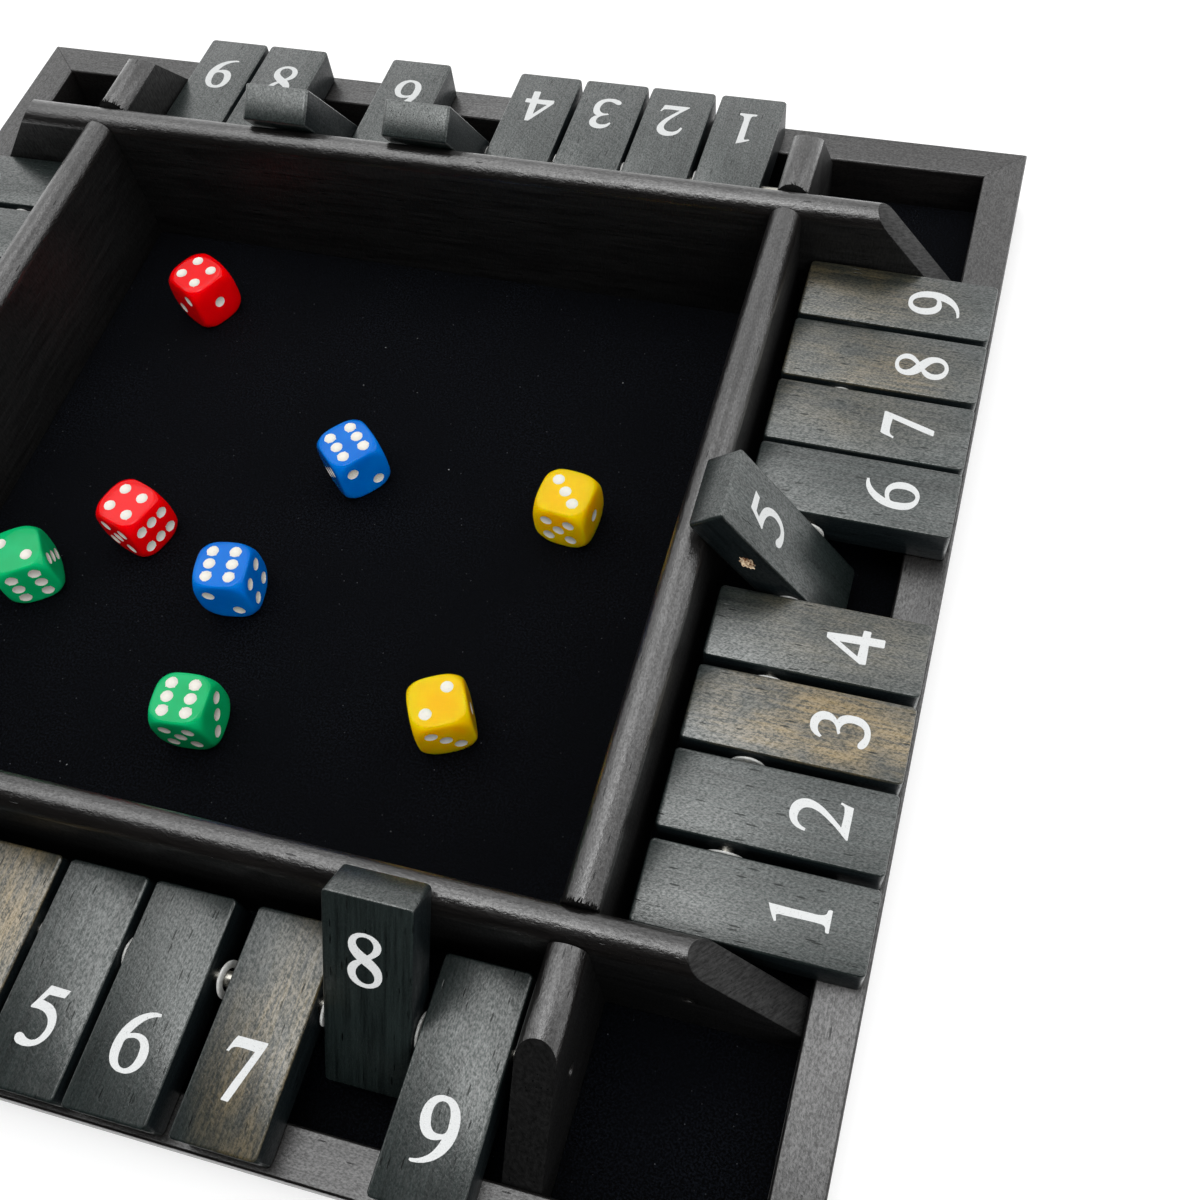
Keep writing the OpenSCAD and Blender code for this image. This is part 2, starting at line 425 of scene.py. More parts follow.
@dataclass(frozen=True)
class GluedFelt:
    """Needled polyester felt: matt black, with a fine nap whose lighter fibres are partly painted
    glints, and a few specks of lint.
    """

    name: str = "glued_black_felt"
    nap_mm: float = 0.6
    nap_depth: float = 0.4 * MM
    lint_cell_mm: float = 9.0
    dust_cell_mm: float = 2.6
    clouds: float = 28.0

    def make(self) -> Material:
        """Builds the material.

        Returns:
            The material.
        """
        wiring = Finish(self.name)
        at = wiring.object_space()
        nap = wiring.noise(at, 1 / (self.nap_mm * MM), detail=4.0, rough=0.7)
        cloud = wiring.noise(at, self.clouds, detail=3.0)
        # Painted glints: the lighter nap fibres are partly the felt's own tone and partly painted
        # glints of its fibres.
        base = wiring.blend(wiring.reshape(nap, 0.46, 0.6), "000001", "101319")
        base = wiring.blend(wiring.reshape(cloud, 0.35, 0.8), base, "040508")
        gap, picks = wiring.cells(at, 1 / (self.lint_cell_mm * MM))
        bright = wiring.reshape(picks[0], 0.35, 0.95, 0.0, 0.8)
        lint = wiring.calculate("MULTIPLY", wiring.reshape(gap, 0.03, 0.02), bright)
        base = wiring.blend(lint, base, "9A9C9E")
        gap, picks = wiring.cells(at, 1 / (self.dust_cell_mm * MM))
        bright = wiring.reshape(picks[1], 0.4, 1.0, 0.0, 0.7)
        dust = wiring.calculate("MULTIPLY", wiring.reshape(gap, 0.07, 0.04), bright)
        return wiring.shade({
            "Base Color": wiring.blend(dust, base, "6A6C72"),
            "Roughness": 0.95,
            "Specular IOR Level": 0.08,
            "Normal": wiring.relief(nap, self.nap_depth),
        })


@dataclass(frozen=True)
class DrawnSteel:
    """Cold-drawn steel rod: bright, with fine lines from the die along its length."""

    name: str = "drawn_steel_rod"
    line_mm: float = 0.12
    line_depth: float = 0.004 * MM

    def make(self) -> Material:
        """Builds the material.

        Returns:
            The material.
        """
        wiring = Finish(self.name)
        lines = wiring.noise(wiring.object_space(), 1 / (self.line_mm * MM))
        return wiring.shade({
            "Base Color": wiring.blend(wiring.reshape(lines, 0.3, 0.7), "A4A198", "CECCC2"),
            "Metallic": 1.0,
            "Roughness": wiring.reshape(lines, 0.3, 0.7, 0.22, 0.34),
            "Normal": wiring.relief(lines, self.line_depth),
        })


@dataclass(frozen=True)
class ClearNylon:
    """Punched nylon sheet: greyish, half clear, brighter at the cut rims."""

    name: str = "punched_nylon_washer"
    haze_cells: float = 900.0
    haze_depth: float = 0.01 * MM
    scatter: float = 2.0 * MM

    def make(self) -> Material:
        """Builds the material.

        Returns:
            The material.
        """
        wiring = Finish(self.name)
        haze = wiring.noise(wiring.object_space(), self.haze_cells, detail=3.0)
        return wiring.shade({
            "Base Color": wiring.blend(wiring.reshape(haze, 0.3, 0.7), "C8CAC6", "EEEFEB"),
            "Roughness": 0.35,
            "IOR": 1.53,
            "Transmission Weight": 0.15,
            "Subsurface Weight": 0.5,
            "Subsurface Radius": (1.0, 1.0, 1.0),
            "Subsurface Scale": self.scatter,
            "Normal": wiring.relief(haze, self.haze_depth),
        })


@dataclass(frozen=True)
class DicePlastic:
    """Moulded and tumbled acrylic: an even, deep colour under a polished skin."""

    name: str
    body: str
    deep: str
    glow: float
    gloss: float
    scatter: float = 8.0 * MM
    swirl_cells: float = 160.0
    skin_cells: float = 420.0
    skin_depth: float = 0.008 * MM

    def make(self) -> Material:
        """Builds the material.

        Returns:
            The material.
        """
        wiring = Finish(self.name)
        at = wiring.object_space()
        swirl = wiring.noise(at, self.swirl_cells)
        skin = wiring.noise(at, self.skin_cells, detail=1.0)
        return wiring.shade({
            "Base Color": wiring.blend(wiring.reshape(swirl, 0.35, 0.65), self.body, self.deep),
            "Roughness": 0.09,
            "IOR": 1.49,
            "Specular IOR Level": self.gloss,
            "Subsurface Weight": self.glow,
            "Subsurface Radius": srgb(self.body)[:3],
            "Subsurface Scale": self.scatter,
            "Normal": wiring.relief(skin, self.skin_depth),
        })


@dataclass(frozen=True)
class Paint:
    """White paint: pad-printed figures or brushed-in pips, with small voids."""

    name: str
    colour: str
    worn: str
    void_mm: float
    rough: float
    void_depth: float = 0.02 * MM

    def make(self) -> Material:
        """Builds the material.

        Returns:
            The material.
        """
        wiring = Finish(self.name)
        voids = wiring.noise(
            wiring.object_space(), 1 / (self.void_mm * MM), detail=3.0, rough=0.6
        )
        share = wiring.reshape(voids, 0.4, 0.3, 0.0, 0.55)
        return wiring.shade({
            "Base Color": wiring.blend(share, self.colour, self.worn),
            "Roughness": self.rough,
            "Normal": wiring.relief(voids, self.void_depth),
        })


@dataclass(frozen=True)
class RawBeech:
    """Beech laid open by a drill or torn by a saw: dry and fibrous, with no lacquer on it."""

    name: str = "raw_beech"
    dark: str = "6E4226"
    light: str = "FBE8C8"
    fibre_cells: Triple = (500.0, 1500.0, 1500.0)
    fibre_depth: float = 0.2 * MM

    def make(self) -> Material:
        """Builds the material.

        Returns:
            The material.
        """
        wiring = Finish(self.name)
        fibres = wiring.noise(wiring.grain_space(self.fibre_cells), detail=3.0, rough=0.7)
        return wiring.shade({
            "Base Color": wiring.blend(wiring.reshape(fibres, 0.4, 0.58), self.dark, self.light),
            "Roughness": 0.85,
            "Specular IOR Level": 0.1,
            "Normal": wiring.relief(fibres, self.fibre_depth),
        })


# ------------------------------------------------------------------ modelling helpers


def make_active(piece: Piece) -> None:
    """Selects one object alone and makes it active.

    Args:
        piece: the object.
    """
    for other in bpy.context.selected_objects:
        other.select_set(False)
    piece.select_set(True)
    bpy.context.view_layer.objects.active = piece


def primitive(
    add: Callable[..., object], scale: Sequence[float] = (1.0, 1.0, 1.0), **settings: object
) -> Piece:
    """Adds a primitive, with its place, turn and size written into its mesh.

    Args:
        add: the operator that adds it.
        scale: how far it is stretched along the axes.
        settings: the operator's settings.

    Returns:
        The new object.
    """
    bpy.ops.object.select_all(action="DESELECT")
    add(**settings)
    piece = bpy.context.object
    piece.scale = scale
    bpy.ops.object.transform_apply(location=True, rotation=True, scale=True)
    return piece


def new_block(low: Sequence[float], high: Sequence[float]) -> Piece:
    """Adds a cube stretched between two corners.

    Args:
        low: the lowest corner.
        high: the highest corner.

    Returns:
        The block.
    """
    centre = [(a + b) / 2 for a, b in zip(low, high)]
    scale = [b - a for a, b in zip(low, high)]
    return primitive(bpy.ops.mesh.primitive_cube_add, scale, size=1.0, location=centre)


def edit_parts(piece: Piece, kind: str, wanted: Callable[[object], bool]) -> None:
    """Enters edit mode with just the wanted edges or faces selected.

    Args:
        piece: the mesh object.
        kind: "EDGE" or "FACE".
        wanted: tells for each edge or face whether it is selected.
    """
    make_active(piece)
    bpy.ops.object.mode_set(mode="EDIT")
    bpy.ops.mesh.select_mode(type=kind)
    mesh = bmesh.from_edit_mesh(piece.data)
    parts = mesh.edges if kind == "EDGE" else mesh.faces
    for part in parts:
        part.select_set(False)
    for part in parts:
        if wanted(part):
            part.select_set(True)
    bmesh.update_edit_mesh(piece.data)


def leave_edit() -> None:
    """Goes back to object mode."""
    bpy.ops.object.mode_set(mode="OBJECT")


def apply_modifier(piece: Piece, kind: str, **settings: object) -> None:
    """Adds a modifier with its settings and applies it.

    Args:
        piece: the mesh object.
        kind: the modifier's type.
        settings: the modifier's properties.
    """
    make_active(piece)
    modifier = piece.modifiers.new(kind.lower(), kind)
    for name, value in settings.items():
        setattr(modifier, name, value)
    bpy.ops.object.modifier_apply(modifier=modifier.name)


def ease(piece: Piece, width: float, segments: int, sharp: float, kept: float) -> None:
    """Rounds a piece's sharp edges and shades it smooth.

    Args:
        piece: the mesh object.
        width: how much of each face is rounded.
        segments: steps of the rounding.
        sharp: the angle in degrees from which an edge is rounded.
        kept: the angle in degrees from which an edge still looks sharp.
    """
    apply_modifier(
        piece, "BEVEL", width=width, segments=segments, limit_method="ANGLE",
        angle_limit=math.radians(sharp),
    )
    smooth(piece, kept)


def cut_away(piece: Piece, tool: Piece, **settings: object) -> None:
    """Cuts one piece out of another and deletes it.

    Args:
        piece: the mesh object.
        tool: what is cut out of it.
        settings: more properties of the Boolean modifier.
    """
    apply_modifier(
        piece, "BOOLEAN", object=tool, operation="DIFFERENCE", solver="EXACT", **settings
    )
    discard([tool])


def smooth(piece: Piece, degrees: float) -> None:
    """Shades a piece smooth, apart from edges sharper than the angle."""
    make_active(piece)
    bpy.ops.object.shade_smooth_by_angle(angle=math.radians(degrees))


def copy_piece(piece: Piece, name: str, place: Matrix) -> Piece:
    """Copies a modelled piece with its own mesh and puts it in place.

    Args:
        piece: the piece to copy.
        name: the copy's name.
        place: where the copy goes, written into its mesh.

    Returns:
        The copy.
    """
    copy = piece.copy()
    copy.data = piece.data.copy()
    copy.name = copy.data.name = name
    copy.data.transform(place)
    bpy.context.collection.objects.link(copy)
    return copy


def join_pieces(pieces: Sequence[Piece], name: str) -> Piece:
    """Joins pieces into one object.

    Args:
        pieces: the objects to join.
        name: the joined object's name.

    Returns:
        The joined object.
    """
    make_active(pieces[0])
    for piece in pieces:
        piece.select_set(True)
    bpy.ops.object.join()
    joined = bpy.context.object
    joined.name = joined.data.name = name
    return joined


def discard(pieces: Iterable[Piece]) -> None:
    """Deletes helper objects and master pieces."""
    for piece in pieces:
        bpy.data.objects.remove(piece, do_unlink=True)


def cad_copy(node: str, name: str) -> Piece:
    """Copies a CAD solid and merges its loose triangles.

    Args:
        node: the CAD node's name.
        name: the copy's name.

    Returns:
        The merged copy.
    """
    copy = bpy.data.objects.new(name, frame["nodes"][node].data.copy())
    copy.data.name = name
    copy.data.materials.clear()
    bpy.context.collection.objects.link(copy)
    make_active(copy)
    bpy.ops.object.mode_set(mode="EDIT")
    bpy.ops.mesh.select_all(action="SELECT")
    bpy.ops.mesh.remove_doubles(threshold=1e-6)
    bpy.ops.mesh.dissolve_limited(angle_limit=math.radians(0.5))
    leave_edit()
    return copy


def dress(piece: Piece, *materials: Material) -> None:
    """Gives a piece its materials in place of any that it has.

    Args:
        piece: the mesh object.
        materials: its materials, in the order of its slots.
    """
    piece.data.materials.clear()
    for material in materials:
        piece.data.materials.append(material)


def lay_grain(
    piece: Piece,
    to_board: Matrix,
    seed: Sequence[float],
    spot: Sequence[float] = (0.0, 0.0, 0.0),
) -> None:
    """Stores where each point lies along, across and through its board.

    Args:
        piece: the mesh object.
        to_board: turns a point of the mesh into the board's own space.
        seed: a shift that gives each board its own figure.
        spot: place along and across of a spot with thin stain, and its strength.
    """
    mesh = piece.data
    names = ("grain_at", "grain_seed", "thin_spot")
    for name in names:
        if name not in mesh.attributes:
            mesh.attributes.new(name, "FLOAT_VECTOR", "POINT")
    at, shift, thin = (mesh.attributes[name].data for name in names)
    for number, vertex in enumerate(mesh.vertices):
        at[number].vector = to_board @ vertex.co
        shift[number].vector = seed
        thin[number].vector = spot


def seat(
    piece: Piece,
    body: str,
    material: Material | None = None,
    nodes: Sequence[str] = (),
) -> None:
    """Gives a finished piece its material and body, and hides the CAD nodes that it replaces.

    Args:
        piece: the finished piece.
        body: the CAD body that carries it.
        material: its material, unless the mesh has its materials already.
        nodes: the CAD nodes that it replaces.
    """
    if material is not None:
        dress(piece, material)
    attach(piece, body)
    if nodes:
        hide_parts(*nodes)
    LOG.info("%s rides on %s", piece.name, body)


# ------------------------------------------------------------------ case


@dataclass
class Case:
    """The mitred frame, the base board and the crossed dividers. Angles are in degrees."""

    rail_arris: float = 0.2 * MM
    divider_arris: float = 0.25 * MM
    sharp: float = 32.0
    slope_steepness: float = 0.4
    upright_z: float = 0.1
    rail_finish: LacqueredWood = LacqueredWood(
        "satin_black_rail_lacquer", "0A0909", "1A1817", sheen_roughness=0.33, hatch=0.15,
        lump_depth=0.05 * MM, dull=0.2, build_up=0.78,
    )
    divider_finish: LacqueredWood = LacqueredWood(
        "satin_black_divider_lacquer", "080707", "161413", sheen_roughness=0.27, hatch=0.1,
        tooth_depth=0.06 * MM, lump_mm=1.6, lump_depth=0.16 * MM, dull=0.35, build_up=0.85,
    )
    slope_finish: LacqueredWood = LacqueredWood(
        "lacquer_soaked_end_grain", "0A0A0A", "1A1A1A", sheen_roughness=0.46, hatch=0.75,
        lump_depth=0.01 * MM, dull=0.02, build_up=0.28, base_sheen=0.15,
    )
    torn_finish: RawBeech = RawBeech("torn_stained_grain", "010101", "121110")
    torn_laps: tuple[tuple[str, str, int], ...] = (
        ("divider_east", "divider_south", 40),
        ("divider_west", "divider_north", 26),
        ("divider_east", "divider_north", 9),
    )
    whisker_r: float = 0.17 * MM
    whisker_length: Pair = (0.5 * MM, 1.6 * MM)
    whisker_back: Pair = (-0.25 * MM, 0.1 * MM)
    whisker_girth: Pair = (0.6, 1.4)
    whisker_lift: Pair = (2.0, 24.0)
    whisker_fan: float = 72.0
    whisker_swing: float = 34.0
    rng: random.Random = field(default_factory=lambda: random.Random(14))

    def build(self) -> None:
        """Builds the rails and dividers and dresses the base board."""
        rail_lacquer, divider_lacquer = self.rail_finish.make(), self.divider_finish.make()
        soaked = self.slope_finish.make()
        for side in Side:
            self.board(f"rail_{side.label}", side, self.rail_arris, [rail_lacquer])
            divider = self.board(
                f"divider_{side.label}", side, self.divider_arris, [divider_lacquer, soaked]
            )
            for face in divider.data.polygons:
                along = (side.turn.inverted() @ face.normal).y
                upright = abs(face.normal.z) < self.upright_z
                face.material_index = int(upright or abs(along) > self.slope_steepness)
        base = frame["nodes"]["base_board"]
        dress(base, rail_lacquer)
        self.grain(base, Side.NORTH)
        torn = self.torn_finish.make()
        for lengthwise, crossing, count in self.torn_laps:
            self.torn_fringe(lengthwise, crossing, count, torn)

    def board(
        self, node: str, side: Side, width: float, materials: Sequence[Material]
    ) -> Piece:
        """Rounds the edges of one rail or divider and lays its grain along it.

        Args:
            node: the CAD node.
            side: the side that it belongs to.
            width: how much of each edge is rounded.
            materials: its lacquer, and any for faces that take another.

        Returns:
            The board.
        """
        piece = cad_copy(node, f"{node}_board")
        ease(piece, width, 3, self.sharp, self.sharp)
        self.grain(piece, side)
        dress(piece, *materials)
        seat(piece, TRAY, nodes=[node])
        return piece

    def torn_fringe(
        self, lengthwise: str, crossing: str, count: int, material: Material
    ) -> None:
        """Leaves a fringe of torn grain where the saw cut a divider's crown for its lap.

        Args:
            lengthwise: the cut divider, which runs along Y.
            crossing: the divider that lies in the cut; the fringe is north of it.
            count: how many whiskers of grain stand out.
            material: the torn grain's finish.
        """
        low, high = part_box(lengthwise)
        radius = (high.x - low.x) / 2
        edge = Vector(((low.x + high.x) / 2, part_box(crossing)[1].y, high.z - radius))
        whisker = primitive(
            bpy.ops.mesh.primitive_cone_add,
            vertices=5, radius1=1.0, radius2=0.15, depth=1.0, location=(0, 0, 0.5),
        )
        whiskers = []
        for number in range(count):
            round_crown = turned(self.rng.uniform(-self.whisker_fan, self.whisker_fan), "Y")
            out = Matrix.Translation((0, self.rng.uniform(*self.whisker_back), radius))
            lift = turned(self.rng.uniform(*self.whisker_lift) - 90, "X")
            swing = turned(self.rng.uniform(-self.whisker_swing, self.whisker_swing), "Z")
            thick = self.whisker_r * self.rng.uniform(*self.whisker_girth)
            length = self.rng.uniform(*self.whisker_length)
            size = Matrix.Diagonal((1.5 * thick, thick, length, 1))
            place = Matrix.Translation(edge) @ round_crown @ out @ swing @ lift @ size
            whiskers.append(copy_piece(whisker, f"whisker_{number}", place))
        fringe = join_pieces(whiskers, f"torn_grain_{lengthwise}_{crossing}")
        discard([whisker])
        self.grain(fringe, Side.EAST)
        seat(fringe, TRAY, material)

    def grain(self, piece: Piece, side: Side) -> None:
        """Lays the grain along Y on the east side, and turned on the others."""
        seed = [self.rng.uniform(-9, 9) for _ in range(3)]
        lay_grain(piece, turned(-90, "Z") @ side.turn.inverted(), seed)


@dataclass
class FeltLining:
    """Nine felt pads, one in each space between the boards."""

    rail_in: float = 165.3 * MM
    divider_at: float = 112.5 * MM
    divider_t: float = 9.4 * MM
    gap: float = 0.1 * MM
    bottom: float = 5.0 * MM
    thickness: float = 1.0 * MM
    cell: float = 4.0 * MM
    wave: float = 0.05 * MM
    wave_lengths: tuple[float, ...] = (9 * MM, 13 * MM, 11 * MM, 17 * MM)
    cut_edge: float = 0.25 * MM
    sharp: float = 60.0
    finish: GluedFelt = GluedFelt()

    def build(self) -> None:
        """Cuts and lays the nine pads."""
        material = self.finish.make()
        outer, middle = self.rail_in - self.gap, self.divider_at + self.divider_t / 2 + self.gap
        well = self.divider_at - self.divider_t / 2 - self.gap
        spans = {"low": (-outer, -middle), "mid": (-well, well), "high": (middle, outer)}
        for column, (x0, x1) in spans.items():
            for row, (y0, y1) in spans.items():
                pad = self.pad(x0, x1, y0, y1)
                pad.name = f"felt_{column}_{row}"
                seat(pad, TRAY, material, ["felt_lining"])

    def pad(self, x0: float, x1: float, y0: float, y1: float) -> Piece:
        """Models one pad with a slightly uneven nap and soft cut edges.

        Args:
            x0: its west edge.
            x1: its east edge.
            y0: its south edge.
            y1: its north edge.

        Returns:
            The pad.
        """
        pad = primitive(
            bpy.ops.mesh.primitive_grid_add, (x1 - x0, y1 - y0, 1), size=1.0,
            x_subdivisions=max(2, round((x1 - x0) / self.cell)),
            y_subdivisions=max(2, round((y1 - y0) / self.cell)),
            location=((x0 + x1) / 2, (y0 + y1) / 2, self.bottom + self.thickness),
        )
        a, b, c, d = self.wave_lengths
        for vertex in pad.data.vertices:
            x, y, _ = vertex.co
            ripple = math.sin(x / a + math.sin(y / b)) * math.sin(y / c + 0.7 * math.sin(x / d))
            vertex.co.z -= self.wave * (0.5 + 0.5 * ripple)
        apply_modifier(pad, "SOLIDIFY", thickness=self.thickness - self.wave, offset=-1)
        for vertex in pad.data.vertices:
            vertex.co.z = max(vertex.co.z, self.bottom)
        ease(pad, self.cut_edge, 2, self.sharp, self.sharp)
        return pad


# ------------------------------------------------------------------ rods and washers


@dataclass
class Running:
    """The pivot rods and the washers that hang on them."""

    rod_z: float = 26.3 * MM
    rod_r: float = 2.0 * MM
    rod_at: float = 138.8 * MM
    washer_r: float = 4.75 * MM
    bore_r: float = 2.95 * MM
    washer_t: float = 0.6 * MM
    washer_rim: float = 0.12 * MM
    hang_gap: float = 0.05 * MM
    most_lean: float = 1.6 * MM
    sway: tuple[float, ...] = (0.9, -0.4, 0.7, -0.9, 0.3, 0.8, -0.6, 0.5)
    steel: DrawnSteel = DrawnSteel()
    nylon: ClearNylon = ClearNylon()

    def build(self) -> None:
        """Dresses the rods and builds the washers."""
        steel = self.steel.make()
        for side in Side:
            dress(frame["nodes"][f"rod_{side.label}"], steel)
        master = self.washer()
        rings = [self.hang(master, side, number) for side in Side for number in range(1, 9)]
        discard([master])
        seat(join_pieces(rings, "washer_set"), TRAY, self.nylon.make(), ["washers"])

    def washer(self) -> Piece:
        """Turns one washer with softly rounded rims.

        Returns:
            The washer, with its axis along Y.
        """
        ring = primitive(
            bpy.ops.mesh.primitive_cylinder_add,
            vertices=40, radius=self.washer_r, depth=self.washer_t, end_fill_type="NGON",
            rotation=(math.radians(90), 0, 0),
        )
        edit_parts(ring, "FACE", lambda face: len(face.verts) > 4)
        bpy.ops.mesh.inset(thickness=self.washer_r - self.bore_r, use_individual=True)
        bpy.ops.mesh.bridge_edge_loops()
        leave_edit()
        ease(ring, self.washer_rim, 2, 50, 60)
        return ring

    def hang(self, master: Piece, side: Side, number: int) -> Piece:
        """Hangs one washer in the gap between two tiles.

        Args:
            master: the washer to copy.
            side: the side of the tray.
            number: the tile before the gap.

        Returns:
            The washer in its place.
        """
        first, second = (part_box(f"tile_{side.label}_{k}") for k in (number, number + 1))
        axis = 1 if side in (Side.EAST, Side.WEST) else 0
        low = min(first[1][axis], second[1][axis])
        high = max(first[0][axis], second[0][axis])
        middle = (low + high) / 2
        along = middle if side in (Side.EAST, Side.SOUTH) else -middle
        lean = min(0.8 * (high - low - self.washer_t), self.most_lean) / (2 * self.washer_r)
        tilt = Matrix.Rotation(math.asin(lean) * self.sway[number - 1], 4, "X")
        height = self.rod_z - (self.bore_r - self.rod_r - self.hang_gap)
        place = side.turn @ Matrix.Translation((self.rod_at, along, height)) @ tilt
        return copy_piece(master, f"washer_{side.label}_{number}", place)


# ------------------------------------------------------------------ figures

Point = tuple[float, ...]

